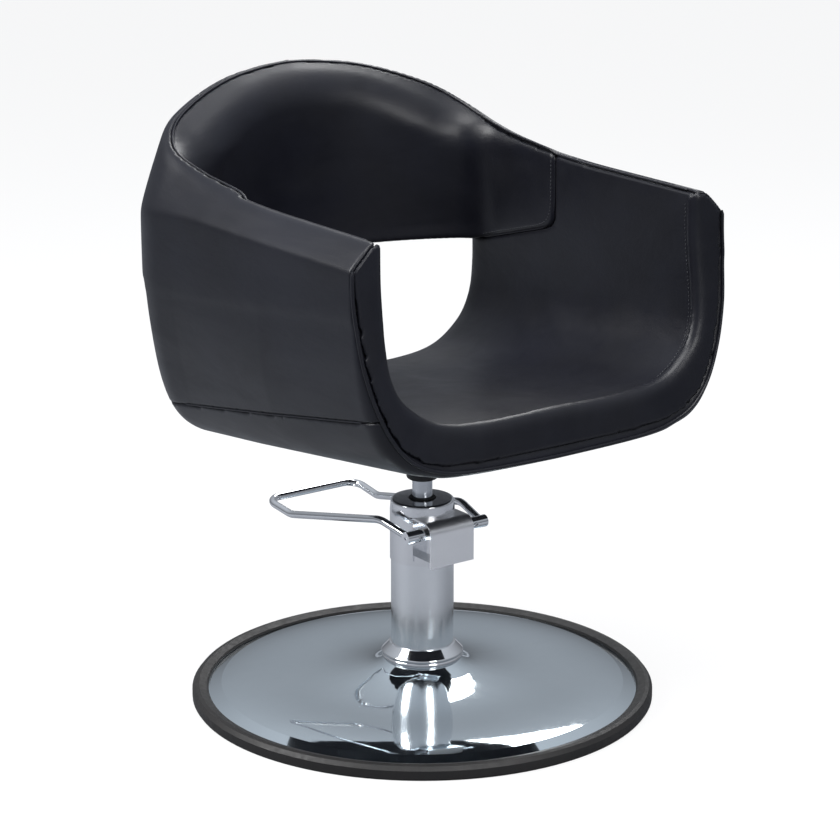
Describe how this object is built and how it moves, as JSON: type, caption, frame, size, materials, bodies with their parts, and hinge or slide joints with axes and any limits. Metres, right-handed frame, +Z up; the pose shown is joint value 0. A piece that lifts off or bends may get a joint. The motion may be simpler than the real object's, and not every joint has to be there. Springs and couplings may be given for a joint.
{
  "type": "styling chair",
  "caption": "Salon styling chair: padded tub seat with an open lower back on a swivelling hydraulic column, foot pedal and round chrome base with a rubber rim.",
  "frame": {"origin": "on the floor, where the column's axis meets it, at the underside of the base's rubber rim", "axes": "+Z up the column; the sitter faces -Y; +X is the sitter's left"},
  "size_m": [0.5999, 0.64, 0.7919],
  "materials": {
    "chrome_base": "polished chrome plate on spun steel",
    "chrome_tube": "polished chrome plate",
    "chrome_head": "polished chrome plate on a casting",
    "chrome_cover": "bright chrome plate on bent sheet",
    "chrome_trim": "polished chrome plate, turned",
    "chrome_axle": "bright chrome plate",
    "chrome_loop": "bright chrome plate on round bar",
    "rim_rubber": "matt moulded rubber",
    "boot_rubber": "matt moulded rubber",
    "seal_rubber": "oil-resistant rubber",
    "ballast_iron": "black primed casting",
    "pump_steel": "machined steel",
    "zinc_steel": "bright zinc plate",
    "spring_steel": "spring wire",
    "plate_steel": "black paint on steel",
    "ram_steel": "ground and honed",
    "bronze": "sintered bearing bronze",
    "frame_wood": "moulded plywood",
    "inner_vinyl": "semi-gloss fine-grain coated fabric",
    "pad_vinyl": "semi-gloss fine-grain coated fabric",
    "band_vinyl": "semi-gloss fine-grain coated fabric",
    "outer_vinyl": "semi-gloss fine-grain coated fabric"
  },
  "bodies": {
    "base": {"base_disc": "chrome_base", "rim_ring": "rim_rubber", "base_collar": "chrome_trim", "ballast_plate": "ballast_iron", "pump_flange": "pump_steel", "flange_bolts": "zinc_steel", "column_tube": "chrome_tube", "foot_block": "pump_steel", "check_balls": "zinc_steel", "cylinder_tube": "pump_steel", "pump_head": "chrome_head", "head_cap": "chrome_head", "pedal_cover": "chrome_cover", "guide_bush": "bronze", "wiper_seal": "seal_rubber", "plunger_sleeve": "pump_steel", "axle_bushes": "bronze"},
    "lift": {"piston": "pump_steel", "piston_seal": "seal_rubber", "thrust_washer": "bronze"},
    "seat": {"ram_rod": "ram_steel", "ram_boot": "boot_rubber", "ram_socket": "plate_steel", "seat_plate": "plate_steel", "seat_bolts": "zinc_steel", "tub_frame": "frame_wood", "seat_foam": "inner_vinyl", "arm_foam_left": "inner_vinyl", "arm_foam_right": "inner_vinyl", "back_pad": "pad_vinyl", "front_band": "band_vinyl", "back_cover": "outer_vinyl", "side_cover_left": "outer_vinyl", "side_cover_right": "outer_vinyl", "bottom_cover": "outer_vinyl"},
    "pedal": {"pedal_axle": "chrome_axle", "pedal_loop": "chrome_loop", "loop_screws": "zinc_steel", "cam_lever": "pump_steel"},
    "plunger": {"plunger": "pump_steel", "plunger_spring": "spring_steel"}
  },
  "joints": [
    {"name": "seat_lift", "type": "slide", "parent": "base", "child": "lift", "axis": [0, 0, 1], "range_m": [0, 0.14]},
    {"name": "seat_swivel", "type": "hinge", "parent": "lift", "child": "seat", "pos_m": [0, 0, 0.3], "axis": [0, 0, 1], "continuous": true},
    {"name": "pedal_press", "type": "hinge", "parent": "base", "child": "pedal", "pos_m": [0, -0.05, 0.236], "axis": [-1, 0, 0], "range_deg": [0, 24], "stiffness_Nm_per_rad": 2.5, "springref_deg": -34.38},
    {"name": "plunger_stroke", "type": "slide", "parent": "base", "child": "plunger", "axis": [0, 0, -1], "range_m": [0, 0.008], "deforming": ["plunger_spring"]}
  ],
  "couplings": [
    {"joint": "plunger_stroke", "follows": "pedal_press", "m_per_rad": 0.018862}
  ]
}
